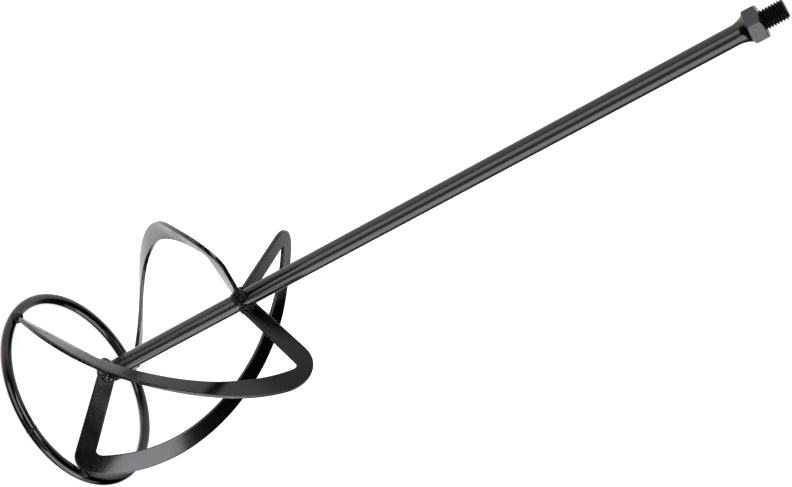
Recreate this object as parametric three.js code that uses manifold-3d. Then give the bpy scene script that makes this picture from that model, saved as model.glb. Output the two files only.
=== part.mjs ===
// Mortar mixing paddle for a mixer with an M14 spindle: three twisted C-shaped vanes welded
// round a tubular shaft, a round steel ring under them, and a threaded hexagon on top.
// Millimetres and degrees, +Z up the shaft. The origin is on the shaft's axis, in the plane
// that the ring rests on. Azimuths run from +X towards +Y.

import * as THREE from "three";
import { mergeVertices } from "three/addons/utils/BufferGeometryUtils.js";
import Module from "manifold-3d";

const wasm = await Module();
wasm.setup();

// ---- Driving dimensions ----------------------------------------------------------------

const OVERALL_LENGTH = 600;
const PADDLE_RADIUS = 80;
const GAP = 0.3; // clearance between a piece and the neighbour that it rests on or is cut by

// Ring: round bar rolled into a circle and butt welded.
const RING_BAR_RADIUS = 4;
const RING_JOINT_AZIMUTH = 279;
const RING_JOINT_WIDTH = 2.4;
const RING_JOINT_BEAD_RADIUS = 4.4; // ground off underneath, level with the bar

// Shaft: round tube, its top end filled by the spindle's spigot and its bottom end by a plug.
const TUBE_RADIUS = 6.75;
const TUBE_BORE_RADIUS = 4.4;
const TUBE_BOTTOM = 30;
const PLUG_LENGTH = 10;
const PLUG_CAP_RADIUS = 6.2;
const PLUG_CAP_THICKNESS = 1.5;

// Drive spindle: M14 x 2 thread, 22 mm hexagon and a spigot inside the tube.
const THREAD_RADIUS = 7;
const THREAD_PITCH = 2;
const THREAD_LENGTH = 16;
const THREAD_CHAMFER = 1.4;
const HEX_ACROSS_FLATS = 22;
const HEX_HEIGHT = 10;
const HEX_FLAT_AZIMUTH = -3;
const HEX_FACE_RADIUS = 10.4; // the end faces' edge, where the corners' chamfer starts
const HEX_CHAMFER_DEGREES = 30;
const SPIGOT_LENGTH = 20;
const NECK_WELD_HEIGHT = 8;
const NECK_WELD_RADIUS = 10;

// Vanes: C-shaped sheet with a flat arm at each end of a strip that winds round the shaft. Seen
// from the side before winding, a rise is a height and a reach is a distance out from the
// shaft's axis. An arm's centre line slopes from its rise at the strip to hubRise at the axis,
// and it passes the axis at a sideways offset. Next to an arm the strip bends into its helix:
// below the upper arm over the length of its bend, and at the foot between two rises, the bend
// fading out over the last stretch of reach inside the strip.
const SHEET_THICKNESS = 3;
const STRIP_WIDTH = 13.2;
const STRIP_FLARE = { foot: 1.3, head: 2, length: 70 }; // how much wider the strip is at its ends
const INNER_CORNER_RADIUS = 4.4;
const EDGE_STEPS = { arm: 6, corner: 7, strip: 30 }; // stations along an edge
const ARM_START = 5; // reach of the arms' square ends, before they are notched round the tube
const LOWER_ARM = { rise: 11.7, height: 9.9, hubRise: 33, cornerRadius: 16, offset: -2.2 };
const FOOT_BEND = { start: -6, end: 42, fade: 12 };
const UPPER_ARM = { rise: 195.5, height: 10, hubRise: 168.7, cornerRadius: 25.5, offset: 0.5, bend: 51 };
const TWIST = { start: 23, end: 183.3, degrees: 132.5, ease: 0.11 };
const FIRST_VANE_AZIMUTH = 214.6;
// The vanes are set by hand before welding, so each foot and each head sits a few degrees and
// up to two millimetres off its place.
const VANES = [
  { name: "vane_1", footError: 5.1, headError: -0.7, footReach: -0.5, headReach: -2 },
  { name: "vane_2", footError: -6.9, headError: -1.9, footReach: 1.3, headReach: 0.9 },
  { name: "vane_3", footError: 3.6, headError: 1.3, footReach: 0.6, headReach: 1.9 },
];

// Weld beads: two on each arm's end, along the tube, and two on each foot, down to the ring.
const BEAD_SINK = 0.35; // how far a bead's middle stands off each surface, in bead radii
const HUB_BEAD_RADIUS = 2.6;
const RING_BEAD_RADIUS = 2.9;
const RING_BEAD_ANGLE = -40; // where on the foot's corner it starts, from level

// ---- Derived sizes ---------------------------------------------------------------------

const { clamp, degToRad, lerp, smoothstep } = THREE.MathUtils;
const TAU = 2 * Math.PI;
const RING_RADIUS = PADDLE_RADIUS - RING_BAR_RADIUS;
const FILL_RADIUS = TUBE_BORE_RADIUS - GAP; // what goes inside the tube
const SHOULDER_HEIGHT = OVERALL_LENGTH - THREAD_LENGTH;
const HEX_BASE = SHOULDER_HEIGHT - HEX_HEIGHT;
const TUBE_TOP = HEX_BASE - GAP;
const STRIP_CENTRE = PADDLE_RADIUS - STRIP_WIDTH / 2;

// ---- Solids ----------------------------------------------------------------------------

const MERGE_TOLERANCE = 1e-4;

function toSolid(geometry) {
  const bare = geometry.index ? geometry.toNonIndexed() : geometry;
  const positions = new THREE.BufferGeometry();
  positions.setAttribute("position", bare.getAttribute("position"));
  const merged = mergeVertices(positions, MERGE_TOLERANCE);
  return new wasm.Manifold(
    new wasm.Mesh({
      numProp: 3,
      vertProperties: merged.attributes.position.array,
      triVerts: new Uint32Array(merged.index.array),
    }),
  );
}

function toGeometry(solid) {
  const mesh = solid.getMesh();
  const geometry = new THREE.BufferGeometry();
  geometry.setAttribute("position", new THREE.BufferAttribute(mesh.vertProperties, 3));
  geometry.setIndex(new THREE.BufferAttribute(mesh.triVerts, 1));
  return geometry;
}

function largestBody(solid) {
  return solid.decompose().reduce((best, body) => (body.volume() > best.volume() ? body : best));
}

// A solid of revolution about Z from [radius, height] pairs that run up the outside.
function turned(profile, segments) {
  const points = profile.map(([radius, height]) => new THREE.Vector2(radius, height));
  return toSolid(new THREE.LatheGeometry(points, segments).rotateX(Math.PI / 2));
}

function cylinder(radius, bottom, top) {
  const segments = 32;
  return turned([[0, bottom], [radius, bottom], [radius, top], [0, top]], segments);
}

// ---- Ring ------------------------------------------------------------------------------

function ringBar(barRadius) {
  const [barSegments, circleSegments] = [12, 96];
  const torus = new THREE.TorusGeometry(RING_RADIUS, barRadius, barSegments, circleSegments);
  return toSolid(torus.translate(0, 0, RING_BAR_RADIUS));
}

// A slab across the bar at the butt joint.
function ringJointSlab(width) {
  const side = 4 * RING_BAR_RADIUS;
  const slab = new THREE.BoxGeometry(side, width, side);
  slab.translate(RING_RADIUS, 0, RING_BAR_RADIUS).rotateZ(degToRad(RING_JOINT_AZIMUTH));
  return toSolid(slab);
}

function ringJointWeld() {
  const slab = ringJointSlab(RING_JOINT_WIDTH - 2 * GAP);
  return ringBar(RING_JOINT_BEAD_RADIUS).intersect(slab).trimByPlane([0, 0, 1], 0);
}

const ringClearance = ringBar(RING_BAR_RADIUS + GAP);

// ---- Shaft -----------------------------------------------------------------------------

function shaftTube() {
  const segments = 32;
  const [inner, outer] = [TUBE_BORE_RADIUS, TUBE_RADIUS];
  const wall = [[inner, TUBE_BOTTOM], [outer, TUBE_BOTTOM], [outer, TUBE_TOP], [inner, TUBE_TOP]];
  return turned([...wall, wall[0]], segments);
}

const tubeClearance = cylinder(TUBE_RADIUS + GAP, 0, OVERALL_LENGTH);

// A disc over the tube's bottom end, with a stub inside the bore.
function shaftEndPlug() {
  const capTop = TUBE_BOTTOM - GAP;
  const cap = cylinder(PLUG_CAP_RADIUS, capTop - PLUG_CAP_THICKNESS, capTop);
  return cap.add(cylinder(FILL_RADIUS, capTop - PLUG_CAP_THICKNESS / 2, TUBE_BOTTOM + PLUG_LENGTH));
}

// ---- Drive spindle ---------------------------------------------------------------------

// A helical thread surface that starts below the shoulder and ends above the tip. Columns go
// round the axis and rows climb it, so the last column meets the first one a pitch higher.
function screw() {
  const columns = 24;
  const depth = 0.6134 * THREAD_PITCH;
  const flank = depth * Math.tan(degToRad(30));
  const crest = THREAD_PITCH / 8;
  const rootRadius = THREAD_RADIUS - depth;
  const profile = [
    [THREAD_RADIUS, 0],
    [THREAD_RADIUS, crest],
    [rootRadius, crest + flank],
    [rootRadius, THREAD_PITCH - flank],
  ];
  const turns = THREAD_LENGTH / THREAD_PITCH + 2;
  const rows = profile.length * turns;
  const start = SHOULDER_HEIGHT - 2 * THREAD_PITCH;
  const points = [];
  const ids = new Map();
  for (let column = 0; column < columns; column += 1) {
    const lastRow = column === 0 ? rows + profile.length : rows;
    for (let row = 0; row <= lastRow; row += 1) {
      const [radius, step] = profile[row % profile.length];
      const pitches = Math.floor(row / profile.length) + column / columns;
      const angle = (TAU * column) / columns;
      ids.set(`${column} ${row}`, points.length);
      points.push(
        new THREE.Vector3(
          radius * Math.cos(angle),
          radius * Math.sin(angle),
          start + step + pitches * THREAD_PITCH,
        ),
      );
    }
  }
  const id = (column, row) =>
    column === columns ? ids.get(`0 ${row + profile.length}`) : ids.get(`${column} ${row}`);
  const triangles = [];
  for (let column = 0; column < columns; column += 1) {
    for (let row = 0; row < rows; row += 1) {
      const [a, b] = [id(column, row), id(column + 1, row)];
      const [c, d] = [id(column + 1, row + 1), id(column, row + 1)];
      triangles.push(a, b, c, a, c, d);
    }
  }
  const closeEnd = (row, height, isTop) => {
    const centre = points.push(new THREE.Vector3(0, 0, height)) - 1;
    const edge = [];
    for (let column = 0; column <= columns; column += 1) edge.push(id(column, row));
    for (let step = profile.length - 1; step > 0; step -= 1) edge.push(id(0, row + step));
    edge.forEach((from, i) => {
      const to = edge[(i + 1) % edge.length];
      triangles.push(centre, ...(isTop ? [from, to] : [to, from]));
    });
  };
  closeEnd(0, start, false);
  closeEnd(rows, start + (turns + 1) * THREAD_PITCH, true);
  return toSolid(new THREE.BufferGeometry().setFromPoints(points).setIndex(triangles));
}

function threadedStud() {
  const segments = 48;
  const wide = THREAD_RADIUS + 1;
  const tip = THREAD_RADIUS - THREAD_CHAMFER;
  const envelope = turned(
    [
      [0, SHOULDER_HEIGHT - 1],
      [wide, SHOULDER_HEIGHT - 1],
      [wide, OVERALL_LENGTH - (wide - tip)],
      [tip, OVERALL_LENGTH],
      [0, OVERALL_LENGTH],
    ],
    segments,
  );
  return screw().intersect(envelope);
}

function hexagon() {
  const segments = 72;
  const cornerRadius = HEX_ACROSS_FLATS / Math.sqrt(3);
  const corners = Array.from({ length: 6 }, (_, i) => {
    const angle = degToRad(HEX_FLAT_AZIMUTH + 30 + 60 * i);
    return new THREE.Vector2(cornerRadius * Math.cos(angle), cornerRadius * Math.sin(angle));
  });
  const prism = new THREE.ExtrudeGeometry(new THREE.Shape(corners), {
    depth: HEX_HEIGHT,
    bevelEnabled: false,
  });
  const wide = cornerRadius + 1;
  const fall = (wide - HEX_FACE_RADIUS) * Math.tan(degToRad(HEX_CHAMFER_DEGREES));
  const chamfers = turned(
    [
      [0, HEX_BASE],
      [HEX_FACE_RADIUS, HEX_BASE],
      [wide, HEX_BASE + fall],
      [wide, SHOULDER_HEIGHT - fall],
      [HEX_FACE_RADIUS, SHOULDER_HEIGHT],
      [0, SHOULDER_HEIGHT],
    ],
    segments,
  );
  return toSolid(prism.translate(0, 0, HEX_BASE)).intersect(chamfers);
}

function driveSpindle() {
  const spigot = cylinder(FILL_RADIUS, HEX_BASE - SPIGOT_LENGTH, HEX_BASE + 1);
  return hexagon().add(threadedStud()).add(spigot);
}

// The hollow fillet that runs from the tube up to the underside of the hexagon.
function neckWeld() {
  const segments = 32;
  const inner = TUBE_RADIUS + GAP;
  const toe = inner + GAP;
  const bottom = TUBE_TOP - NECK_WELD_HEIGHT;
  const fillet = new THREE.QuadraticBezierCurve(
    new THREE.Vector2(toe, bottom),
    new THREE.Vector2(toe, TUBE_TOP - NECK_WELD_HEIGHT / 3),
    new THREE.Vector2(NECK_WELD_RADIUS, TUBE_TOP),
  );
  const outside = fillet.getPoints(6).map((point) => [point.x, point.y]);
  return turned([[inner, bottom], ...outside, [inner, TUBE_TOP], [inner, bottom]], segments);
}

// ---- Vanes -----------------------------------------------------------------------------

// The azimuth of the strip at a rise: a twist that is a little faster at both ends.
function vaneAzimuth(vane, rise) {
  const share = (rise - TWIST.start) / (TWIST.end - TWIST.start);
  const eased = share + (TWIST.ease * Math.sin(TAU * share)) / TAU;
  return degToRad(vane.azimuth + lerp(vane.footError, vane.headError, share) + TWIST.degrees * eased);
}

// The way that the sheet's width points: all of a flat arm points the way of its centre line.
function vaneHeading(vane, rise, reach) {
  const armTop = LOWER_ARM.rise + LOWER_ARM.height / 2;
  const armBottom = UPPER_ARM.rise - UPPER_ARM.height / 2;
  const stripInside = PADDLE_RADIUS - STRIP_WIDTH;
  const inStrip = smoothstep(reach, stripInside - FOOT_BEND.fade, stripInside);
  const bendStart = lerp(armTop, FOOT_BEND.start, inStrip);
  const inLowerArm = 1 - smoothstep(rise, bendStart, FOOT_BEND.end);
  const inUpperArm = smoothstep(rise, armBottom - UPPER_ARM.bend, armBottom);
  const azimuth = vaneAzimuth(vane, rise);
  const toLower = (vaneAzimuth(vane, LOWER_ARM.rise) - azimuth) * inLowerArm;
  const toUpper = (vaneAzimuth(vane, UPPER_ARM.rise) - azimuth) * inUpperArm;
  return azimuth + toLower + toUpper;
}

// How much further out than drawn the vane sits at a rise.
function reachError(vane, rise) {
  const share = (rise - TWIST.start) / (TWIST.end - TWIST.start);
  return lerp(vane.footReach, vane.headReach, clamp(share, 0, 1));
}

// Where the point at a reach and a rise ends up on the finished vane.
function vanePoint(vane, reach, rise) {
  const azimuth = vaneAzimuth(vane, rise);
  const heading = vaneHeading(vane, rise, reach);
  const share = (rise - TWIST.start) / (TWIST.end - TWIST.start);
  const inward = STRIP_CENTRE - reach - reachError(vane, rise);
  const armTop = LOWER_ARM.rise + LOWER_ARM.height / 2;
  const armBottom = UPPER_ARM.rise - UPPER_ARM.height / 2;
  const offset = lerp(LOWER_ARM.offset, UPPER_ARM.offset, smoothstep(rise, armTop, armBottom));
  const slope = lerp(LOWER_ARM.hubRise - LOWER_ARM.rise, UPPER_ARM.hubRise - UPPER_ARM.rise, share);
  return new THREE.Vector3(
    STRIP_CENTRE * Math.cos(azimuth) - inward * Math.cos(heading) - offset * Math.sin(heading),
    STRIP_CENTRE * Math.sin(azimuth) - inward * Math.sin(heading) + offset * Math.cos(heading),
    rise + (inward / STRIP_CENTRE) * slope,
  );
}

function vaneNormal(vane, reach, rise) {
  const step = 0.01;
  const along = vanePoint(vane, reach + step, rise).sub(vanePoint(vane, reach - step, rise));
  const up = vanePoint(vane, reach, rise + step).sub(vanePoint(vane, reach, rise - step));
  return up.cross(along).normalize();
}

// One edge of the sheet as stations, from the lower arm's end to the upper arm's end.
function sheetEdge({ start, reach, bottom, top, lowerRadius, upperRadius }) {
  const lowerCentre = bottom + lowerRadius;
  const upperCentre = top - upperRadius;
  const lowerReach = reach - lowerRadius;
  const upperReach = reach - upperRadius;
  const point = (x, y) => new THREE.Vector2(x, y);
  const quarter = Math.PI / 2;
  const { arm, corner, strip } = EDGE_STEPS;
  const stretches = [
    [new THREE.LineCurve(point(start, bottom), point(lowerReach, bottom)), arm],
    [new THREE.EllipseCurve(lowerReach, lowerCentre, lowerRadius, lowerRadius, -quarter, 0), corner],
    [new THREE.LineCurve(point(reach, lowerCentre), point(reach, upperCentre)), strip],
    [new THREE.EllipseCurve(upperReach, upperCentre, upperRadius, upperRadius, 0, quarter), corner],
    [new THREE.LineCurve(point(upperReach, top), point(start, top)), arm],
  ];
  const ends = stretches.flatMap(([curve, divisions]) => curve.getPoints(divisions).slice(1));
  return [point(start, bottom), ...ends];
}

// How much wider than its middle the strip is at a rise.
function stripFlare(rise) {
  const foot = LOWER_ARM.rise + LOWER_ARM.height / 2;
  const head = UPPER_ARM.rise - UPPER_ARM.height / 2;
  const nearFoot = 1 - smoothstep(rise, foot, foot + STRIP_FLARE.length);
  const nearHead = smoothstep(rise, head - STRIP_FLARE.length, head);
  return STRIP_FLARE.foot * nearFoot + STRIP_FLARE.head * nearHead;
}

// The sheet, with its skin on each side of the middle surface; growth swells it all round.
function vaneSolid(vane, growth = 0) {
  const outer = sheetEdge({
    start: ARM_START - growth,
    reach: PADDLE_RADIUS + growth,
    bottom: LOWER_ARM.rise - LOWER_ARM.height / 2 - growth,
    top: UPPER_ARM.rise + UPPER_ARM.height / 2 + growth,
    lowerRadius: LOWER_ARM.cornerRadius + growth,
    upperRadius: UPPER_ARM.cornerRadius + growth,
  });
  const inner = sheetEdge({
    start: ARM_START - growth,
    reach: PADDLE_RADIUS - STRIP_WIDTH - growth,
    bottom: LOWER_ARM.rise + LOWER_ARM.height / 2 + growth,
    top: UPPER_ARM.rise - UPPER_ARM.height / 2 - growth,
    lowerRadius: INNER_CORNER_RADIUS - growth,
    upperRadius: INNER_CORNER_RADIUS - growth,
  });
  for (const point of inner) {
    const inStrip = clamp((2 * point.x) / STRIP_CENTRE - 1, 0, 1);
    point.x -= stripFlare(point.y) * inStrip;
  }
  const skin = SHEET_THICKNESS / 2 + growth;
  const loops = outer.map((outerPoint, station) => {
    const face = (side) =>
      [0, 0.5, 1].map((across) => {
        const { x: reach, y: rise } = outerPoint.clone().lerp(inner[station], across);
        const normal = vaneNormal(vane, reach, rise);
        return vanePoint(vane, reach, rise).addScaledVector(normal, side * skin);
      });
    return [...face(1), ...face(-1).reverse()];
  });
  return lofted(loops);
}

// A solid through a stack of equal loops, closed by a fan at each end.
function lofted(loops) {
  const size = loops[0].length;
  const points = loops.flat();
  const triangles = [];
  for (let start = 0; start < points.length - size; start += size) {
    for (let i = 0; i < size; i += 1) {
      const next = (i + 1) % size;
      const [a, b, c, d] = [start + i, start + next, start + size + next, start + size + i];
      triangles.push(a, b, c, a, c, d);
    }
  }
  const last = points.length - size;
  const middle = (loop) =>
    loop.reduce((sum, point) => sum.add(point), new THREE.Vector3()).divideScalar(size);
  const firstMiddle = points.push(middle(loops[0])) - 1;
  const lastMiddle = points.push(middle(loops.at(-1))) - 1;
  for (let i = 0; i < size; i += 1) {
    const next = (i + 1) % size;
    triangles.push(firstMiddle, next, i, lastMiddle, last + i, last + next);
  }
  return toSolid(new THREE.BufferGeometry().setFromPoints(points).setIndex(triangles));
}

// ---- Weld beads ------------------------------------------------------------------------

// A bead laid along a path, round in section and tapered at its ends.
function bead(path, radius) {
  const [stations, sides] = [8, 10];
  const curve = new THREE.CatmullRomCurve3(path);
  const frames = curve.computeFrenetFrames(stations);
  const loops = frames.normals.map((normal, station) => {
    const along = (2 * station) / stations - 1;
    const size = radius * Math.sqrt(1.08 - along ** 4);
    const centre = curve.getPointAt(station / stations);
    return Array.from({ length: sides }, (_, i) => {
      const angle = (TAU * i) / sides;
      return centre
        .clone()
        .addScaledVector(normal, size * Math.cos(angle))
        .addScaledVector(frames.binormals[station], size * Math.sin(angle));
    });
  });
  return lofted(loops);
}

// The bead that runs down one face of an arm where it meets the tube.
function hubBead(vane, arm, side) {
  const standOff = BEAD_SINK * HUB_BEAD_RADIUS + GAP;
  const tubeDistance = TUBE_RADIUS + standOff;
  const heading = vaneHeading(vane, arm.rise, TUBE_RADIUS);
  const sideways = new THREE.Vector3(-Math.sin(heading), Math.cos(heading), 0);
  const half = (arm.height - HUB_BEAD_RADIUS) / 2;
  const path = [-1, -0.5, 0, 0.5, 1].map((share) => {
    const rise = arm.rise + share * half;
    const normal = vaneNormal(vane, TUBE_RADIUS, rise);
    const lift = normal.multiplyScalar(side * (SHEET_THICKNESS / 2 + standOff));
    const across = vanePoint(vane, TUBE_RADIUS, rise).add(lift).dot(sideways);
    const reach = Math.sqrt(Math.max(tubeDistance ** 2 - across ** 2, (tubeDistance / 3) ** 2));
    return vanePoint(vane, reach - reachError(vane, rise), rise).add(lift);
  });
  const clear = bead(path, HUB_BEAD_RADIUS).subtract(tubeClearance);
  return largestBody(clear.subtract(vaneSolid(vane, GAP)));
}

// The bead on one face of the foot, from its rounded corner down to the top of the ring.
function ringBead(vane, side) {
  const radius = LOWER_ARM.cornerRadius;
  const angle = degToRad(RING_BEAD_ANGLE);
  const reach = PADDLE_RADIUS - radius * (1 - Math.cos(angle));
  const rise = LOWER_ARM.rise - LOWER_ARM.height / 2 + radius * (1 + Math.sin(angle));
  const corner = vanePoint(vane, reach, rise);
  const outward = vaneNormal(vane, reach, rise).multiplyScalar(side);
  const skin = SHEET_THICKNESS / 2 + GAP;
  const start = corner.clone().addScaledVector(outward, skin);
  const azimuth = Math.atan2(corner.y, corner.x);
  const top = RING_BAR_RADIUS * (1 + Math.SQRT1_2);
  const end = new THREE.Vector3(RING_RADIUS * Math.cos(azimuth), RING_RADIUS * Math.sin(azimuth), top);
  const middle = start.clone().lerp(end, 0.5);
  const drop = start.clone().sub(end);
  const path = [start.clone().addScaledVector(drop, 0.1), middle, end];
  const plane = corner.dot(outward) + skin;
  const onItsSide = bead(path, RING_BEAD_RADIUS).trimByPlane(outward.toArray(), plane);
  return largestBody(onItsSide.subtract(ringClearance).subtract(vaneSolid(vane, GAP)));
}

// ---- Materials -------------------------------------------------------------------------

const lacquer = { color: 0x1d1d1f, roughness: 0.3, metalness: 0.5 };
const blackOxide = { color: 0x38383b, roughness: 0.45, metalness: 0.7 };
const weldMetal = { color: 0x262628, roughness: 0.5, metalness: 0.6 };

// ---- Assembly --------------------------------------------------------------------------

const paddle = new THREE.Group();
paddle.name = "mortar_mixing_paddle";

function addPiece(name, solid, finish) {
  const mesh = new THREE.Mesh(toGeometry(solid), new THREE.MeshStandardMaterial(finish));
  mesh.name = name;
  paddle.add(mesh);
}

addPiece("shaft_tube", shaftTube(), lacquer);
addPiece("shaft_end_plug", shaftEndPlug(), lacquer);
addPiece("drive_spindle", driveSpindle(), blackOxide);
addPiece("neck_weld", neckWeld(), lacquer);
addPiece("bottom_ring", ringBar(RING_BAR_RADIUS).subtract(ringJointSlab(RING_JOINT_WIDTH)), lacquer);
addPiece("ring_joint_weld", ringJointWeld(), weldMetal);

VANES.forEach((settings, index) => {
  const vane = { ...settings, azimuth: FIRST_VANE_AZIMUTH + (index * 360) / VANES.length };
  const number = index + 1;
  const solid = vaneSolid(vane).subtract(ringClearance).subtract(tubeClearance);
  addPiece(vane.name, largestBody(solid), lacquer);
  for (const [word, side] of [["left", 1], ["right", -1]]) {
    addPiece(`upper_${word}_weld_${number}`, hubBead(vane, UPPER_ARM, side), weldMetal);
    addPiece(`lower_${word}_weld_${number}`, hubBead(vane, LOWER_ARM, side), weldMetal);
    addPiece(`ring_${word}_weld_${number}`, ringBead(vane, side), weldMetal);
  }
});

export default paddle;
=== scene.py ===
"""A black lacquered steel mortar paddle on a pale studio floor.

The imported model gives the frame. Each of its nodes is rebuilt here as a finer mesh in the same
place: turned and swept shapes, sheet with rounded edges, a real thread and rippled weld beads,
all with node-based materials. Lengths are in millimetres until a mesh is made, and angles that
are named values are in degrees. The studio is in metres.
"""

import math

import bmesh
import bpy
from mathutils import Matrix, Vector, noise


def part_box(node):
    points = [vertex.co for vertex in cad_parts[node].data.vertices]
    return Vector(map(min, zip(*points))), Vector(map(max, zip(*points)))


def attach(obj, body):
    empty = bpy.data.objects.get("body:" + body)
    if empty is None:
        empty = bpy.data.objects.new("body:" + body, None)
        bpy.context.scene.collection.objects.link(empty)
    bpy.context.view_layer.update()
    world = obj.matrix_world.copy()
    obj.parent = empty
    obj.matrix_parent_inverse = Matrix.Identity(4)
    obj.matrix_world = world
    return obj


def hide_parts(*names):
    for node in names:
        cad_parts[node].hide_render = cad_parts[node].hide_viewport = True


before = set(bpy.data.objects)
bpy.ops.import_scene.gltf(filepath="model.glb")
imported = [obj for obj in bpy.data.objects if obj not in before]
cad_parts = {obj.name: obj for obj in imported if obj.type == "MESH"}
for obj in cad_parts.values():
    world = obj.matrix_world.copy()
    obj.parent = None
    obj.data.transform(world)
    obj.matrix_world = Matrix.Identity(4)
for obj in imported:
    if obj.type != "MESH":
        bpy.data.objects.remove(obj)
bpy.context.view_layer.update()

MM = 0.001
TAU = 2 * math.pi


# ---- Sizes: from the frame where a node's box gives them -----------------------------------


def box_mm(node):
    """A node's lowest and highest corners, in millimetres."""
    low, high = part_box(node)
    return low / MM, high / MM


ring_low, ring_high = box_mm("bottom_ring")
tube_low, tube_high = box_mm("shaft_tube")
plug_low, plug_high = box_mm("shaft_end_plug")
neck_low, neck_high = box_mm("neck_weld")
spindle_low, spindle_high = box_mm("drive_spindle")

PADDLE_RADIUS = round(ring_high.x, 2)
RING_BAR_RADIUS = round((ring_high.z - ring_low.z) / 2, 2)
RING_RADIUS = PADDLE_RADIUS - RING_BAR_RADIUS
TUBE_RADIUS = round(tube_high.x, 2)
OVERALL_LENGTH = round(spindle_high.z, 2)

# The weld that closes the ring: its crown rises from a skin that lies "sink" below the bar's.
RING_JOINT = dict(azimuth=279, width=2, crown=0.22, lump=0.08, sink=0.05)

# The shaft, its end plug and the neck weld, which flares along a curve with three control points.
TUBE_BORE_RADIUS = 4.4
TUBE_EDGE_RADIUS = 0.6
PLUG_EDGE_RADIUS = 0.4
NECK = dict(sink=0.05, inside=0.5, toe_drop=1, bend_out=0.3, bend_rise=5, overlap=0.1)
TURNED_SEGMENTS = 96

# The spindle. A crest is a share of the pitch, and the root's sag is a share of the depth.
THREAD_RADIUS = 7
THREAD_PITCH = 2
THREAD_LENGTH = 16
THREAD_CHAMFER = 1.4
THREAD_OVERLAP = 0.5
THREAD_DEPTH = 0.6134 * THREAD_PITCH
THREAD_CREST = 1 / 8
THREAD_FLANK_DEGREES = 30
THREAD_ROOT_SAG = 0.06
HEX_ACROSS_FLATS = 22
HEX_HEIGHT = 10
HEX_FLAT_AZIMUTH = -3
HEX_FACE_RADIUS = 10.4
HEX_CHAMFER_DEGREES = 30
HEX_CORNER_RADIUS = 0.9
HEX_CORNER_REACH_DEGREES = 2.6  # how far to each side of a corner its rounding can reach
HEX_FACE_MARGIN = 0.4
SPIGOT_CLEARANCE = 0.3
SHOULDER_HEIGHT = OVERALL_LENGTH - THREAD_LENGTH
HEX_BASE = SHOULDER_HEIGHT - HEX_HEIGHT

# The vanes are C-shaped blanks that are wound round the shaft. Seen flat, a rise is a height and a
# reach is a distance from the shaft's axis. Each vane is welded on a little out of place: its
# errors at foot and head are degrees of azimuth, and its reaches are how far out it has moved.
SHEET_THICKNESS = 3
SHEET_EDGE_RADIUS = 0.45
SHEET_EDGE_MARGIN = 0.5
SHEET_WORN_SHARE = 0.8  # how much of the rounded edge's radius is worn
EDGE_STEPS = dict(lower_arm=24, lower_corner=24, strip=110, upper_corner=28, upper_arm=26)
STRIP_WIDTH = 13.2
STRIP_CENTRE = PADDLE_RADIUS - STRIP_WIDTH / 2
STRIP_FLARE = dict(foot=1.3, head=2, length=70)
INNER_CORNER_RADIUS = 4.4
ARM_START = 5
LOWER_ARM = dict(rise=11.7, height=9.9, hub_rise=33, corner_radius=16, offset=-2.2)
FOOT_BEND = dict(start=-6, end=42, fade=12)
UPPER_ARM = dict(rise=195.5, height=10, hub_rise=168.7, corner_radius=25.5, offset=0.5, bend=51)
TWIST = dict(start=23, end=183.3, degrees=132.5, ease=0.11)
FIRST_VANE_AZIMUTH = 214.6
VANES = [
    dict(name="vane_1", foot_error=5.1, head_error=-0.7, foot_reach=-0.5, head_reach=-2),
    dict(name="vane_2", foot_error=-6.9, head_error=-1.9, foot_reach=1.3, head_reach=0.9),
    dict(name="vane_3", foot_error=3.6, head_error=1.3, foot_reach=0.6, head_reach=1.9),
]
# How far along the ring each foot's weld ends from straight below the foot's corner.
RING_WELD_SHIFTS = dict(vane_1=-4, vane_2=9, vane_3=3)

# Weld beads: rippled along their length, with coarse and fine lumps.
HUB_BEAD_RADIUS = 3
RING_BEAD_RADIUS = 3.4
RING_BEAD_ANGLE = -40  # where on the foot's corner it starts, from level
RING_BEAD_START = 0.1  # its first point, as a share of the way from that corner to the ring
RING_BEAD_OUTWARD = RING_BAR_RADIUS / 4  # how far outside the bar's middle line it ends
BEAD_SINK = 0.35  # how far a hub bead's middle is from what it joins, as a share of its radius
BEAD_RIPPLE = dict(pitch=1.3, size=0.06, chevron=0.5)
BEAD_LUMPS = dict(size=0.6, fine_size=0.3, scale=1.2, finer=2.5, seed_step=17)

SHARP_DEGREES = 32
JOIN_DISTANCE = 0.001


def lerp(a, b, share):
    return a + (b - a) * share


def smoothstep(value, low, high):
    share = min(max((value - low) / (high - low), 0), 1)
    return share * share * (3 - 2 * share)


# ---- Node-based materials ------------------------------------------------------------------


WARM = (1, 0.97, 0.94, 1)
COOL = (0.975, 0.94, 1, 1)


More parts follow.
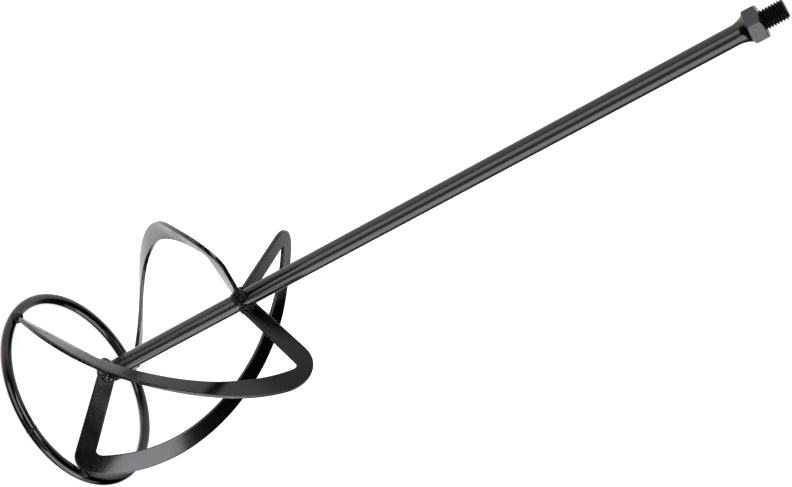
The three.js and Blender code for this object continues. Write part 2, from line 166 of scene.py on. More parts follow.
class Nodes:
    """A short way to write a node tree: each call adds a node and returns its output."""

    def __init__(self, name):
        self.material = bpy.data.materials.new(name)
        self.material.use_nodes = True
        self.tree = self.material.node_tree
        self.shader = self.tree.nodes["Principled BSDF"]

    def add(self, kind, inputs=None, output=0, **settings):
        node = self.tree.nodes.new("ShaderNode" + kind)
        for name, value in settings.items():
            setattr(node, name, value)
        for name, value in (inputs or {}).items():
            self.feed(node.inputs[name], value)
        return node.outputs[output]

    def feed(self, socket, value):
        if isinstance(value, bpy.types.NodeSocket):
            self.tree.links.new(value, socket)
        else:
            socket.default_value = value

    def set(self, **inputs):
        for name, value in inputs.items():
            self.feed(self.shader.inputs[name.replace("_", " ")], value)

    def place(self):
        """Where a point is on the object, in metres."""
        return self.add("TexCoord", output="Object")

    def noise(self, scale, detail, roughness=0.5):
        inputs = {"Scale": scale, "Detail": detail, "Roughness": roughness}
        inputs["Vector"] = self.place()
        return self.add("TexNoise", inputs)

    def ramp(self, value, low, high, to_low=0.0, to_high=1.0):
        inputs = {"Value": value, "From Min": low, "From Max": high}
        inputs.update({"To Min": to_low, "To Max": to_high})
        return self.add("MapRange", inputs, clamp=True)

    def mix(self, share, low, high):
        """A colour between two colours."""
        node = self.tree.nodes.new("ShaderNodeMix")
        node.data_type = "RGBA"
        self.feed(node.inputs["Factor"], share)
        self.feed(node.inputs[6], low)
        self.feed(node.inputs[7], high)
        return node.outputs[2]

    def maths(self, operation, a, b):
        node = self.tree.nodes.new("ShaderNodeMath")
        node.operation = operation
        self.feed(node.inputs[0], a)
        self.feed(node.inputs[1], b)
        return node.outputs[0]

    def bump(self, height, distance):
        return self.add("Bump", {"Height": height, "Distance": distance, "Strength": 1.0})


def grey(value, warmth=0.0):
    return (value * (1 + warmth), value, value * (1 - warmth), 1)


def lacquer(name, roughness, tint, wear=0.0):
    """Glossy black lacquer on steel: orange peel, faint clouding, thin and pale on worn edges."""
    nodes = Nodes(name)
    cloud = nodes.noise(scale=30, detail=5)
    base = nodes.mix(nodes.ramp(cloud, 0.35, 0.7), grey(0.001), grey(0.002))
    if wear:
        edge = nodes.add("Attribute", attribute_name="edge", output="Fac")
        patchy = nodes.ramp(nodes.noise(scale=260, detail=6, roughness=0.7), 0.5, 0.75, 0, wear)
        base = nodes.mix(nodes.maths("MULTIPLY", edge, patchy), base, grey(0.12))
    nodes.set(Base_Color=base, Metallic=0.0, IOR=1.6, Specular_Tint=tint)
    mottle = nodes.noise(scale=420, detail=3)
    nodes.set(Roughness=nodes.ramp(mottle, 0.3, 0.7, roughness * 0.85, roughness * 1.15))
    nodes.set(Normal=nodes.bump(nodes.noise(scale=500, detail=3), distance=0.00003))
    return nodes.material


def blackened_steel(name, base, roughness):
    """Satin blackened steel with fine grinding marks, oiled and blacker on the thread."""
    nodes = Nodes(name)
    grain = nodes.noise(scale=1400, detail=4, roughness=0.6)
    cloud = nodes.noise(scale=90, detail=4)
    colour = nodes.mix(nodes.ramp(cloud, 0.35, 0.65), grey(base * 0.8), grey(base * 1.2))
    gloss = nodes.ramp(grain, 0.3, 0.7, roughness * 0.85, roughness * 1.15)
    height = nodes.add("SeparateXYZ", {"Vector": nodes.place()}, output=2)
    oiled = nodes.maths("GREATER_THAN", height, (SHOULDER_HEIGHT + 0.05) * MM)
    nodes.set(Base_Color=nodes.mix(oiled, colour, grey(0.002)), Metallic=0.0, Roughness=gloss)
    nodes.set(IOR=nodes.ramp(oiled, 0, 1, 1.7, 1.25), Specular_Tint=COOL)
    nodes.set(Normal=nodes.bump(grain, distance=0.00004))
    return nodes.material


def weld_metal(name, glint_level):
    """Lacquered weld bead: uneven sheen, with small bright specks of painted highlight (glints) in
    its colour.
    """
    nodes = Nodes(name)
    lumps = nodes.noise(scale=900, detail=5, roughness=0.65)
    # Painted highlights: light grey specks in the base colour stand in for glints on the bead; a
    # lower level gives more of them.
    painted_glints = nodes.ramp(nodes.noise(scale=700, detail=3), glint_level, glint_level + 0.1)
    colour = nodes.mix(painted_glints, grey(0.001), grey(0.3, warmth=0.06))
    nodes.set(Base_Color=colour, Metallic=0.0, IOR=1.3)
    nodes.set(Roughness=nodes.ramp(lumps, 0.35, 0.65, 0.12, 0.3))
    nodes.set(Normal=nodes.bump(lumps, distance=0.0004))
    return nodes.material


def floor_paper(name):
    """Matt white paper that is lit from behind, so it stays bright under the paddle."""
    nodes = Nodes(name)
    nodes.set(Base_Color=grey(0.8), Roughness=0.9, Emission_Color=grey(1), Emission_Strength=0.8)
    return nodes.material


SHAFT_LACQUER = lacquer("shaft_lacquer", roughness=0.16, tint=WARM)
SHEET_LACQUER = lacquer("sheet_lacquer", roughness=0.17, tint=COOL, wear=0.5)
RING_LACQUER = lacquer("ring_lacquer", roughness=0.12, tint=COOL)
HEX_STEEL = blackened_steel("hexagon_steel", base=0.008, roughness=0.32)
# Two copies of the weld: the second has more painted highlight specks, so the lower hub beads look
# lighter.
DARK_WELD = weld_metal("dark_weld", glint_level=0.65)
MANY_GLINTS_WELD = weld_metal("many_glints_weld", glint_level=0.54)


# ---- Mesh building ---------------------------------------------------------------------------


def make_piece(node, points, faces, material, slot, edge=None):
    """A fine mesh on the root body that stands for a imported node."""
    mesh = bpy.data.meshes.new(node + "_fine")
    mesh.from_pydata([Vector(point) * MM for point in points], [], faces)
    shade(mesh)
    if edge:
        mesh.attributes.new("edge", "FLOAT", "POINT").data.foreach_set("value", edge)
    mesh.materials.append(material)
    piece = bpy.data.objects.new(mesh.name, mesh)
    bpy.context.scene.collection.objects.link(piece)
    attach(piece, "root")
    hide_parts(node)
    return piece


def shade(mesh):
    """Smooth shading, broken where the surface turns sharply."""
    mesh.polygons.foreach_set("use_smooth", [True] * len(mesh.polygons))
    mesh.set_sharp_from_angle(angle=math.radians(SHARP_DEGREES))


def grid_faces(rows, columns, close_rows=False):
    """Quads over points stored row by row, where each row is a closed loop."""
    faces = []
    for row in range(rows if close_rows else rows - 1):
        next_row = (row + 1) % rows
        for column in range(columns):
            next_column = (column + 1) % columns
            a, b = row * columns + column, row * columns + next_column
            c, d = next_row * columns + next_column, next_row * columns + column
            faces.append((a, b, c, d))
    return faces


def revolve(profile, segments):
    """Rows of points round the Z axis, one row for each (radius, height)."""
    points = []
    for radius, height in profile:
        for step in range(segments):
            angle = TAU * step / segments
            points.append((radius * math.cos(angle), radius * math.sin(angle), height))
    return points


def close_ends(points, faces, columns, low_height, high_height):
    """Fans from the first and the last row of a grid to points on the Z axis."""
    low, high = len(points), len(points) + 1
    last = low - columns
    points += [(0, 0, low_height), (0, 0, high_height)]
    for step in range(columns):
        following = (step + 1) % columns
        faces.append((low, following, step))
        faces.append((high, last + step, last + following))


def arc(centre, radius, start, end, steps):
    """Points on a circle's arc, with angles in degrees."""
    points = []
    for step in range(steps + 1):
        angle = math.radians(lerp(start, end, step / steps))
        points.append((centre[0] + radius * math.cos(angle), centre[1] + radius * math.sin(angle)))
    return points


def join_close_points(mesh):
    """Joins points that lie within a micrometre, and drops the faces this empties."""
    work = bmesh.new()
    work.from_mesh(mesh)
    bmesh.ops.remove_doubles(work, verts=work.verts, dist=JOIN_DISTANCE * MM)
    bmesh.ops.dissolve_degenerate(work, edges=work.edges, dist=JOIN_DISTANCE * MM)
    work.to_mesh(mesh)
    work.free()


def apply_modifier(piece, kind, **settings):
    """Applies one modifier to a piece's mesh."""
    modifier = piece.modifiers.new(kind, kind)
    for name, value in settings.items():
        setattr(modifier, name, value)
    bpy.context.view_layer.update()
    graph = bpy.context.evaluated_depsgraph_get()
    mesh = bpy.data.meshes.new_from_object(piece.evaluated_get(graph))
    piece.modifiers.clear()
    old = piece.data
    mesh.name, name = "made", old.name
    piece.data = mesh
    bpy.data.meshes.remove(old)
    mesh.name = name


# ---- Ring ------------------------------------------------------------------------------------


def ring_point(azimuth, around, bar_radius):
    """A point on the ring's skin: azimuth round the paddle, around the bar's own section."""
    reach = RING_RADIUS + bar_radius * math.cos(around)
    height = RING_BAR_RADIUS + bar_radius * math.sin(around)
    return (reach * math.cos(azimuth), reach * math.sin(azimuth), height)


def make_ring():
    rows, columns = 320, 40
    points = []
    for row in range(rows):
        for column in range(columns):
            points.append(ring_point(TAU * row / rows, TAU * column / columns, RING_BAR_RADIUS))
    faces = grid_faces(rows, columns, close_rows=True)
    flipped = [face[::-1] for face in faces]
    return make_piece("bottom_ring", points, flipped, RING_LACQUER, "black_lacquer")


def make_ring_joint():
    """A narrow raised band of weld round the bar, ground off underneath."""
    rows, columns = 25, 48
    half = RING_JOINT["width"] / 2 / RING_RADIUS
    points = []
    for row in range(rows):
        share = 2 * row / (rows - 1) - 1
        for column in range(columns):
            around = TAU * column / columns
            lump = noise.noise(Vector((share * 2, 3 * math.cos(around), 3 * math.sin(around))))
            fall = 1 - share * share
            crown = RING_JOINT["crown"] * fall ** 0.5 + RING_JOINT["lump"] * lump * fall
            azimuth = math.radians(RING_JOINT["azimuth"]) + share * half
            point = ring_point(azimuth, around, RING_BAR_RADIUS - RING_JOINT["sink"] + crown)
            points.append((point[0], point[1], max(point[2], 0)))
    faces = [face[::-1] for face in grid_faces(rows, columns)]
    faces.append(tuple(range(columns)))
    faces.append(tuple(reversed(range(len(points) - columns, len(points)))))
    return make_piece("ring_joint_weld", points, faces, DARK_WELD, "lacquered_weld")


# ---- Shaft -----------------------------------------------------------------------------------


def make_tube():
    edge = TUBE_EDGE_RADIUS
    bottom, top = tube_low.z, HEX_BASE
    outside = [(TUBE_BORE_RADIUS, top), (TUBE_BORE_RADIUS, bottom)]
    outside += arc((TUBE_RADIUS - edge, bottom + edge), edge, -90, 0, 6)
    outside += [(TUBE_RADIUS, lerp(bottom + 2 * edge, top, step / 12)) for step in range(13)]
    points = revolve(outside, TURNED_SEGMENTS)
    faces = grid_faces(len(outside), TURNED_SEGMENTS, close_rows=True)
    return make_piece("shaft_tube", points, faces, SHAFT_LACQUER, "black_lacquer")


def make_plug():
    radius, low, high = plug_high.x, plug_low.z, plug_high.z
    stub = TUBE_BORE_RADIUS
    cap_top = tube_low.z
    profile = [(1, low)]
    edge = PLUG_EDGE_RADIUS
    profile += arc((radius - edge, low + edge), edge, -90, 0, 6)
    profile += [(radius, cap_top), (stub, cap_top), (stub, high)]
    points = revolve(profile, TURNED_SEGMENTS)
    faces = grid_faces(len(profile), TURNED_SEGMENTS)
    close_ends(points, faces, TURNED_SEGMENTS, low, high)
    return make_piece("shaft_end_plug", points, faces, SHAFT_LACQUER, "black_lacquer")


def make_neck():
    """The fillet that flares from the tube up to the hexagon's underside."""
    rows, columns = 24, 128
    low, high = neck_low.z, HEX_BASE + NECK["overlap"]
    bottom, inside = low - NECK["toe_drop"], TUBE_RADIUS - NECK["inside"]
    toe = (TUBE_RADIUS - NECK["sink"], bottom)
    middle = (TUBE_RADIUS + NECK["bend_out"], low + NECK["bend_rise"])
    rim = (neck_high.x, high)
    profile = []
    for row in range(rows):
        t = row / (rows - 1)
        radius, height = [
            (1 - t) ** 2 * toe[axis] + 2 * t * (1 - t) * middle[axis] + t * t * rim[axis]
            for axis in range(2)
        ]
        profile.append((radius, height))
    profile += [(inside, high), (inside, bottom)]
    points = revolve(profile, columns)
    faces = grid_faces(len(profile), columns, close_rows=True)
    return make_piece("neck_weld", points, faces, SHAFT_LACQUER, "black_lacquer")


# ---- Drive spindle ---------------------------------------------------------------------------


def hexagon_radius(azimuth):
    """The distance from the axis to the hexagon's side, with its six corners slightly rounded."""
    turn = (azimuth - math.radians(HEX_FLAT_AZIMUTH) + math.pi / 6) % (TAU / 6) - math.pi / 6
    flat = HEX_ACROSS_FLATS / 2 / math.cos(turn)
    corner_distance = (HEX_ACROSS_FLATS / 2 - HEX_CORNER_RADIUS) / math.cos(math.pi / 6)
    off_corner = abs(turn) - math.pi / 6
    sideways = corner_distance * math.sin(off_corner)
    if math.degrees(abs(off_corner)) > HEX_CORNER_REACH_DEGREES:
        return flat
    along = corner_distance * math.cos(off_corner)
    rounded = along + math.sqrt(max(HEX_CORNER_RADIUS ** 2 - sideways ** 2, 0))
    return min(flat, rounded)


def make_spindle():
    spindle = make_piece("drive_spindle", *hexagon_mesh(), HEX_STEEL, "black_oxide")
    thread = make_piece("drive_spindle", *thread_mesh(), HEX_STEEL, "black_oxide")
    for piece in (spindle, thread):
        join_close_points(piece.data)
    apply_modifier(spindle, "BOOLEAN", object=thread, operation="UNION", solver="EXACT")
    bpy.data.objects.remove(thread)
    shade(spindle.data)
    return spindle


def hexagon_mesh():
    """Hexagon with chamfered corners on both faces and a spigot below."""
    columns, chamfer_steps, side_steps = 360, 5, 8
    slope = math.tan(math.radians(HEX_CHAMFER_DEGREES))
    spigot = TUBE_BORE_RADIUS - SPIGOT_CLEARANCE
    face_inner = HEX_FACE_RADIUS - HEX_FACE_MARGIN
    rows = []
    azimuths = [TAU * step / columns for step in range(columns)]
    sides = [hexagon_radius(azimuth) for azimuth in azimuths]
    falls = [max(side - HEX_FACE_RADIUS, 0) * slope for side in sides]
    rows.append([(spigot, spindle_low.z)] * columns)
    rows.append([(spigot, HEX_BASE)] * columns)
    rows.append([(face_inner, HEX_BASE)] * columns)
    rows.append([(HEX_FACE_RADIUS, HEX_BASE)] * columns)
    for step in range(1, chamfer_steps + 1):
        share = step / chamfer_steps
        rows.append([
            (lerp(HEX_FACE_RADIUS, side, share), HEX_BASE + fall * share)
            for side, fall in zip(sides, falls)
        ])
    for step in range(1, side_steps):
        share = step / side_steps
        rows.append([
            (side, lerp(HEX_BASE + fall, SHOULDER_HEIGHT - fall, share))
            for side, fall in zip(sides, falls)
        ])
    for step in range(chamfer_steps, 0, -1):
        share = step / chamfer_steps
        rows.append([
            (lerp(HEX_FACE_RADIUS, side, share), SHOULDER_HEIGHT - fall * share)
            for side, fall in zip(sides, falls)
        ])
    rows.append([(HEX_FACE_RADIUS, SHOULDER_HEIGHT)] * columns)
    rows.append([(face_inner, SHOULDER_HEIGHT)] * columns)
    rows.append([(1, SHOULDER_HEIGHT)] * columns)
    points = [
        (radius * math.cos(azimuth), radius * math.sin(azimuth), height)
        for row in rows
        for azimuth, (radius, height) in zip(azimuths, row)
    ]
    faces = grid_faces(len(rows), columns)
    close_ends(points, faces, columns, spindle_low.z, SHOULDER_HEIGHT)
    return points, faces


def thread_depth(share):
    """How far below the crest the thread's surface is, at a share of a pitch."""
    depth, crest = THREAD_DEPTH, THREAD_CREST
    flank = depth * math.tan(math.radians(THREAD_FLANK_DEGREES)) / THREAD_PITCH
    root = 1 - crest - 2 * flank
    place = (share + crest / 2) % 1
    if place < crest:
        return 0
    if place < crest + flank:
        return depth * (place - crest) / flank
    if place < crest + flank + root:
        return depth * (1 + THREAD_ROOT_SAG * math.sin(math.pi * (place - crest - flank) / root))
    return depth * (1 - (place - crest - flank - root) / flank)


def thread_mesh():
    """A helical M14 thread whose rows follow the helix, cut to its length and chamfered."""
    columns, steps = 96, 16
    rows = int(steps * (THREAD_LENGTH / THREAD_PITCH + 3))
    low = SHOULDER_HEIGHT - THREAD_OVERLAP
    tip = THREAD_RADIUS - THREAD_CHAMFER
    grid = []
    for row in range(rows + 1):
        for column in range(columns):
            share = row / steps
            height = SHOULDER_HEIGHT - 2 * THREAD_PITCH + THREAD_PITCH * (share + column / columns)
            height = min(max(height, low), OVERALL_LENGTH)
            radius = THREAD_RADIUS - thread_depth(share)
            radius = min(radius, tip + OVERALL_LENGTH - height)
            if height <= low:
                radius = tip
            angle = TAU * column / columns
            grid.append((radius * math.cos(angle), radius * math.sin(angle), height))
    faces = []
    for row in range(rows):
        for column in range(columns):
            following = (column + 1) % columns
            shift = steps if following == 0 else 0
            lower, upper = row + shift, row + 1 + shift
            if upper > rows:
                continue
            a, b = row * columns + column, lower * columns + following
            c, d = upper * columns + following, (row + 1) * columns + column
            faces.append((a, b, c, d))
    close_ends(grid, faces, columns, low, OVERALL_LENGTH)
    return grid, faces


# ---- Vanes -----------------------------------------------------------------------------------


def vane_azimuth(vane, rise):
    share = (rise - TWIST["start"]) / (TWIST["end"] - TWIST["start"])
    eased = share + TWIST["ease"] * math.sin(TAU * share) / TAU
    error = lerp(vane["foot_error"], vane["head_error"], share)
    return math.radians(vane["azimuth"] + error + TWIST["degrees"] * eased)


def arm_limits():
    """The rises between which the strip runs: the lower arm's top and the upper arm's bottom."""
    low = LOWER_ARM["rise"] + LOWER_ARM["height"] / 2
    return low, UPPER_ARM["rise"] - UPPER_ARM["height"] / 2


def vane_heading(vane, rise, reach):
    """The way the sheet's width points: all of a flat arm points the way of its centre line."""
    low, high = arm_limits()
    azimuth = vane_azimuth(vane, rise)
    strip_inside = PADDLE_RADIUS - STRIP_WIDTH
    in_strip = smoothstep(reach, strip_inside - FOOT_BEND["fade"], strip_inside)
    bend_start = lerp(low, FOOT_BEND["start"], in_strip)
    in_lower = 1 - smoothstep(rise, bend_start, FOOT_BEND["end"])
    in_upper = smoothstep(rise, high - UPPER_ARM["bend"], high)
    to_lower = (vane_azimuth(vane, LOWER_ARM["rise"]) - azimuth) * in_lower
    to_upper = (vane_azimuth(vane, UPPER_ARM["rise"]) - azimuth) * in_upper
    return azimuth + to_lower + to_upper


def reach_error(vane, rise):
    """How much further out than drawn the vane sits at a rise."""
    share = (rise - TWIST["start"]) / (TWIST["end"] - TWIST["start"])
    return lerp(vane["foot_reach"], vane["head_reach"], min(max(share, 0), 1))


def vane_point(vane, reach, rise):
    """Where the flat sheet's point at a reach and a rise ends up on the finished vane."""
    azimuth = vane_azimuth(vane, rise)
    heading = vane_heading(vane, rise, reach)
    share = (rise - TWIST["start"]) / (TWIST["end"] - TWIST["start"])
    low, high = arm_limits()
    offset = lerp(LOWER_ARM["offset"], UPPER_ARM["offset"], smoothstep(rise, low, high))
    low_slope = LOWER_ARM["hub_rise"] - LOWER_ARM["rise"]
    high_slope = UPPER_ARM["hub_rise"] - UPPER_ARM["rise"]
    inward = STRIP_CENTRE - reach - reach_error(vane, rise)
    outward_way = Vector((math.cos(heading), math.sin(heading), 0))
    sideways = Vector((-math.sin(heading), math.cos(heading), 0))
    on_helix = Vector((math.cos(azimuth), math.sin(azimuth), 0)) * STRIP_CENTRE
    height = rise + inward / STRIP_CENTRE * lerp(low_slope, high_slope, share)
    return on_helix - outward_way * inward + sideways * offset + Vector((0, 0, height))


def vane_normal(vane, reach, rise):
    step = 0.01
    along = vane_point(vane, reach + step, rise) - vane_point(vane, reach - step, rise)
    up = vane_point(vane, reach, rise + step) - vane_point(vane, reach, rise - step)
    return up.cross(along).normalized()


def blank_edge(vane, reach, bottom, top, lower_radius, upper_radius):
    """One edge of the C-shaped blank, from the lower arm's end to the upper arm's end."""

    def line(start, end, steps):
        return [
            (lerp(start[0], end[0], step / steps), lerp(start[1], end[1], step / steps))
            for step in range(1, steps + 1)
        ]

    lower_centre = (reach - lower_radius, bottom + lower_radius)
    upper_centre = (reach - upper_radius, top - upper_radius)
    edge = [(ARM_START - reach_error(vane, bottom), bottom)]
    edge += line(edge[0], (lower_centre[0], bottom), EDGE_STEPS["lower_arm"])
    edge += arc(lower_centre, lower_radius, -90, 0, EDGE_STEPS["lower_corner"])[1:]
    edge += line((reach, lower_centre[1]), (reach, upper_centre[1]), EDGE_STEPS["strip"])
    edge += arc(upper_centre, upper_radius, 0, 90, EDGE_STEPS["upper_corner"])[1:]
    upper_end = (ARM_START - reach_error(vane, top), top)
    edge += line((upper_centre[0], top), upper_end, EDGE_STEPS["upper_arm"])
    return edge


def strip_flare(rise):
    """How much wider than its middle the strip is at a rise."""
    low, high = arm_limits()
    length = STRIP_FLARE["length"]
    near_foot = 1 - smoothstep(rise, low, low + length)
    near_head = smoothstep(rise, high - length, high)
    return STRIP_FLARE["foot"] * near_foot + STRIP_FLARE["head"] * near_head


def flared(inner_edge):
    """The strip's inner edge, moved inwards where the strip is wider."""
    moved = []
    for reach, rise in inner_edge:
        in_strip = min(max(2 * reach / STRIP_CENTRE - 1, 0), 1)
        moved.append((reach - strip_flare(rise) * in_strip, rise))
    return moved


def sheet_section(width):
    """The strip's rounded section as (across, out of plane, 1 where it is worn) round its rim."""
    half, radius = SHEET_THICKNESS / 2, SHEET_EDGE_RADIUS
    inner = radius + SHEET_EDGE_MARGIN
    across = [radius, inner] + [lerp(inner, width - inner, step / 4) for step in (1, 2, 3)]
    across += [width - inner, width - radius]
    upper = [(place, half) for place in across]
    far = arc((width - radius, half - radius), radius, 90, 0, 4)[1:]
    far += arc((width - radius, radius - half), radius, 0, -90, 4)[:-1]
    lower = [(place, -half) for place in reversed(across)]
    near = arc((radius, radius - half), radius, -90, -180, 4)[1:]
    near += arc((radius, half - radius), radius, 180, 90, 4)[:-1]
    worn = radius * SHEET_WORN_SHARE
    rim = upper + far + lower + near
    return [(place, out, 1.0 if min(place, width - place) < worn else 0.0) for place, out in rim]


def make_vane(vane):
    half_lower, half_upper = LOWER_ARM["height"] / 2, UPPER_ARM["height"] / 2
    outer = blank_edge(
        vane,
        PADDLE_RADIUS,
        LOWER_ARM["rise"] - half_lower,
        UPPER_ARM["rise"] + half_upper,
        LOWER_ARM["corner_radius"],
        UPPER_ARM["corner_radius"],
    )
    inner = flared(blank_edge(
        vane,
        PADDLE_RADIUS - STRIP_WIDTH,
        LOWER_ARM["rise"] + half_lower,
        UPPER_ARM["rise"] - half_upper,
        INNER_CORNER_RADIUS,
        INNER_CORNER_RADIUS,
    ))
    points, worn_edge = [], []
    for outer_point, inner_point in zip(outer, inner):
        start, end = Vector(outer_point), Vector(inner_point)
        width = (end - start).length
        section = sheet_section(width)
        for across, out, worn in section:
            reach, rise = start.lerp(end, across / width)
            points.append(vane_point(vane, reach, rise) + vane_normal(vane, reach, rise) * out)
            worn_edge.append(worn)
    columns = len(section)
    faces = grid_faces(len(outer), columns)
    faces.append(tuple(reversed(range(columns))))
    faces.append(tuple(range(len(points) - columns, len(points))))
    return make_piece(vane["name"], points, faces, SHEET_LACQUER, "black_lacquer", worn_edge)


# ---- Weld beads ------------------------------------------------------------------------------


def make_bead(node, path, radius, material, seed):
    """A weld bead laid in ripples along a path of points, with round ends."""
    rows, columns = 40, 28
    lumps = BEAD_LUMPS
    length = sum((after - before).length for before, after in zip(path, path[1:])) + radius
    middle_line = (path[-1] - path[0]).normalized()
    points = []
    for row in range(1, rows):
        share = -math.cos(math.pi * row / rows)
        centre = path_point(path, share, radius / 2)
        taper = (1 - share ** 4) ** 0.5
        turn = Vector((0, 0, 1)).rotation_difference(middle_line)
        for column in range(columns):
            around = TAU * column / columns
            direction = Vector((math.cos(around), math.sin(around), 0))
            chevron = share * length / 2 + BEAD_RIPPLE["chevron"] * math.cos(around * 2)
            ripple = abs(math.sin(math.pi * chevron / BEAD_RIPPLE["pitch"])) - 0.5
            away = share * length / 4 + lumps["seed_step"] * seed
            spot = direction * lumps["scale"] + Vector((0, 0, away))
            lump = noise.noise(spot) * lumps["size"]
            lump += noise.noise(spot * lumps["finer"]) * lumps["fine_size"]
            size = (radius * (1 + BEAD_RIPPLE["size"] * ripple) + lump) * taper
            points.append(centre + turn @ direction * size)
    faces = grid_faces(rows - 1, columns)
    low, high = len(points), len(points) + 1
    points += [path_point(path, -1, radius / 2), path_point(path, 1, radius / 2)]
    for column in range(columns):
        following = (column + 1) % columns
        faces.append((low, following, column))
        faces.append((high, low - columns + column, low - columns + following))
    return make_piece(node, points, faces, material, "lacquered_weld")


def path_point(path, share, overrun):
    """The point at a share from -1 to 1 of a path that is made longer at both ends."""
    start = path[0] + (path[0] - path[1]).normalized() * overrun
    end = path[-1] + (path[-1] - path[-2]).normalized() * overrun
    stretched = [start] + path[1:-1] + [end]
    place = (share + 1) / 2 * (len(stretched) - 1)
    index = min(int(place), len(stretched) - 2)
    return stretched[index].lerp(stretched[index + 1], place - index)


def hub_bead_path(vane, arm, side):
    """The line along which one face of an arm meets the tube, a little off both surfaces."""
    stand_off = BEAD_SINK * HUB_BEAD_RADIUS
    tube_distance = TUBE_RADIUS + stand_off
    least_reach = tube_distance / 3
    heading = vane_heading(vane, arm["rise"], TUBE_RADIUS)
    sideways = Vector((-math.sin(heading), math.cos(heading), 0))
    half = (arm["height"] - HUB_BEAD_RADIUS) / 2
    path = []
    for share in (-1, -0.5, 0, 0.5, 1):
        rise = arm["rise"] + share * half
        normal = vane_normal(vane, TUBE_RADIUS, rise)
        lift = normal * side * (SHEET_THICKNESS / 2 + stand_off)
        across = (vane_point(vane, TUBE_RADIUS, rise) + lift).dot(sideways)
        reach = math.sqrt(max(tube_distance ** 2 - across ** 2, least_reach ** 2))
        path.append(vane_point(vane, reach - reach_error(vane, rise), rise) + lift)
    return path


def ring_bead_path(vane, side):
    """From one face of the foot's rounded corner down to the top of the ring."""
    radius, angle = LOWER_ARM["corner_radius"], math.radians(RING_BEAD_ANGLE)
    reach = PADDLE_RADIUS - radius * (1 - math.cos(angle))
    rise = LOWER_ARM["rise"] - LOWER_ARM["height"] / 2 + radius * (1 + math.sin(angle))
    corner = vane_point(vane, reach, rise)
    start = corner + vane_normal(vane, reach, rise) * side * SHEET_THICKNESS / 2
    azimuth = math.atan2(corner.y, corner.x) + RING_WELD_SHIFTS[vane["name"]] / RING_RADIUS
    reach = RING_RADIUS + RING_BEAD_OUTWARD
    end = Vector((
        reach * math.cos(azimuth),
        reach * math.sin(azimuth),
        RING_BAR_RADIUS * (1 + math.sqrt(0.5)),
    ))
    return [start.lerp(end, RING_BEAD_START), start.lerp(end, 0.5), end]


def make_beads(vane, number):
    for side, word in ((1, "left"), (-1, "right")):
        seed = 10 * number + side
        upper = hub_bead_path(vane, UPPER_ARM, side)
        lower = hub_bead_path(vane, LOWER_ARM, side)
        make_bead(f"upper_{word}_weld_{number}", upper, HUB_BEAD_RADIUS, DARK_WELD, seed)
        make_bead(f"lower_{word}_weld_{number}", lower, HUB_BEAD_RADIUS, MANY_GLINTS_WELD, seed + 3)
        ring = ring_bead_path(vane, side)
        make_bead(f"ring_{word}_weld_{number}", ring, RING_BEAD_RADIUS, DARK_WELD, seed + 6)


# ---- Assembly --------------------------------------------------------------------------------

make_ring()
make_ring_joint()
make_tube()
make_plug()
make_neck()
make_spindle()
for vane_index, vane in enumerate(VANES):
    vane["azimuth"] = FIRST_VANE_AZIMUTH + 360 * vane_index / len(VANES)
    make_vane(vane)
    make_beads(vane, vane_index + 1)


# ---- Studio ----------------------------------------------------------------------------------

# Places and sizes are in metres, the lens and its sensor in millimetres. An edge is the range of
# a direction's component, from -1 to 1, over which the strength of the studio's white changes.
CAMERA_PLACE = Vector((16.14, -940.45, 666.70)) * MM
CAMERA_ELEVATION = 21.592
CAMERA_ROLL = 62.1345
CAMERA_LENS = 65.4545
SENSOR_WIDTH = 36
FLOOR_HALF_SIZE = 12
PADDLE_MIDDLE = Vector((0, 0, 0.25))
LAMP_DISTANCE = 8
WHITE_SIDE_AZIMUTH = 135
WHITE_SIDE_EDGE = (0, 0.5)
WHITE_SIDE_STRENGTH = 0.88
LOW_EDGE = (-0.7, -0.25)
LOW_LIFT = 1.35


def make_camera():
    data = bpy.data.cameras.new("camera")
    data.lens = CAMERA_LENS
    data.sensor_width = SENSOR_WIDTH
    data.clip_start, data.clip_end = 0.01, 100
    camera = bpy.data.objects.new("camera", data)
    tilt = Matrix.Rotation(math.radians(90 - CAMERA_ELEVATION), 4, "X")
    roll = Matrix.Rotation(math.radians(CAMERA_ROLL), 4, "Z")
    camera.matrix_world = Matrix.Translation(CAMERA_PLACE) @ tilt @ roll
    bpy.context.scene.collection.objects.link(camera)
    bpy.context.scene.camera = camera


def make_floor():
    """A floor that neither shows in the lacquer nor shadows the lamps that stand below it."""
    size = FLOOR_HALF_SIZE
    mesh = bpy.data.meshes.new("floor")
    corners = [(-size, -size, 0), (size, -size, 0), (size, size, 0), (-size, size, 0)]
    mesh.from_pydata(corners, [], [(0, 1, 2, 3)])
    mesh.materials.append(floor_paper("floor_paper"))
    floor = bpy.data.objects.new("floor", mesh)
    bpy.context.scene.collection.objects.link(floor)
    floor.visible_glossy = False
    floor.visible_shadow = False


def soft_box(name, azimuth, elevation, width, height, radiance):
    """An area light in a direction from the paddle's middle, its size given in degrees."""
    data = bpy.data.lights.new(name, "AREA")
    data.shape = "RECTANGLE"
    data.size = 2 * LAMP_DISTANCE * math.tan(math.radians(width / 2))
    data.size_y = 2 * LAMP_DISTANCE * math.tan(math.radians(height / 2))
    data.energy = radiance * math.pi * data.size * data.size_y
    light = bpy.data.objects.new(name, data)
    level = math.cos(math.radians(elevation))
    away = Vector((
        level * math.cos(math.radians(azimuth)),
        level * math.sin(math.radians(azimuth)),
        math.sin(math.radians(elevation)),
    ))
    light.location = PADDLE_MIDDLE + away * LAMP_DISTANCE
    light.rotation_mode = "QUATERNION"
    light.rotation_quaternion = away.to_track_quat("Z", "Y")
    light.visible_camera = False
    bpy.context.scene.collection.objects.link(light)


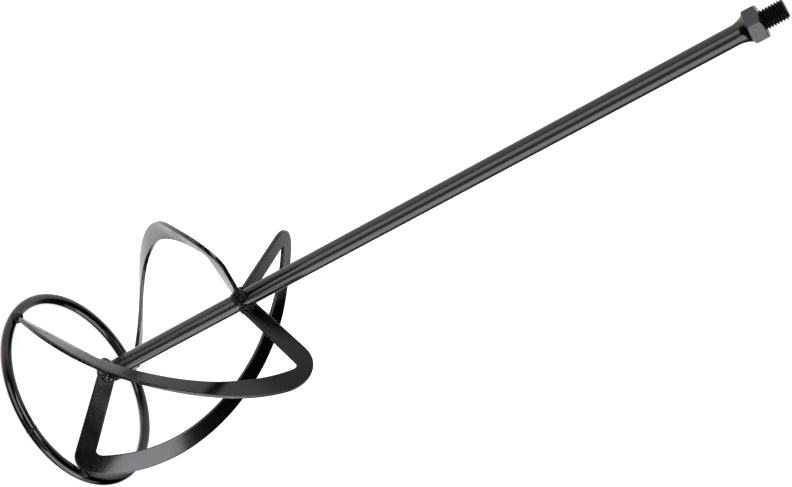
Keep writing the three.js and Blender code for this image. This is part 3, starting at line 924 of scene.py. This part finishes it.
def make_world():
    """A plain studio: white behind and to the left of the paddle, brightest low down."""
    world = bpy.data.worlds.new("studio")
    world.use_nodes = True
    tree = world.node_tree
    direction = tree.nodes.new("ShaderNodeTexCoord").outputs["Generated"]
    facing = tree.nodes.new("ShaderNodeVectorMath")
    facing.operation = "DOT_PRODUCT"
    azimuth = math.radians(WHITE_SIDE_AZIMUTH)
    facing.inputs[1].default_value = (math.cos(azimuth), math.sin(azimuth), 0)
    tree.links.new(direction, facing.inputs[0])
    height = tree.nodes.new("ShaderNodeSeparateXYZ")
    tree.links.new(direction, height.inputs[0])
    strengths = (0, WHITE_SIDE_STRENGTH)
    across = world_ramp(tree, facing.outputs["Value"], WHITE_SIDE_EDGE, strengths)
    low_down = world_ramp(tree, height.outputs["Z"], LOW_EDGE, (LOW_LIFT, 1))
    product = tree.nodes.new("ShaderNodeMath")
    product.operation = "MULTIPLY"
    tree.links.new(across, product.inputs[0])
    tree.links.new(low_down, product.inputs[1])
    tree.links.new(product.outputs[0], tree.nodes["Background"].inputs["Strength"])
    tree.nodes["Background"].inputs["Color"].default_value = (1, 1, 1, 1)
    bpy.context.scene.world = world


def world_ramp(tree, value, reach, strengths):
    """A smooth step from one strength to another over a reach of values."""
    ramp = tree.nodes.new("ShaderNodeMapRange")
    ramp.interpolation_type = "SMOOTHSTEP"
    ramp.inputs["From Min"].default_value, ramp.inputs["From Max"].default_value = reach
    ramp.inputs["To Min"].default_value, ramp.inputs["To Max"].default_value = strengths
    tree.links.new(value, ramp.inputs["Value"])
    return ramp.outputs["Result"]


make_camera()
make_floor()
make_world()
soft_box("top_box", azimuth=-86, elevation=68, width=34, height=27, radiance=4.6)
soft_box("front_fill", azimuth=-50, elevation=36, width=20, height=24, radiance=0.9)
soft_box("right_strip", azimuth=-24, elevation=-14, width=50, height=58, radiance=3)
soft_box("right_fade", azimuth=10, elevation=-18, width=19, height=40, radiance=1)
soft_box("middle_fill", azimuth=-72, elevation=-12, width=36, height=46, radiance=0.42)
soft_box("left_strip", azimuth=-108, elevation=-10, width=37, height=48, radiance=2.25)
soft_box("left_fill", azimuth=-145, elevation=-18, width=38, height=50, radiance=0.4)
bpy.context.scene.view_settings.view_transform = "Standard"
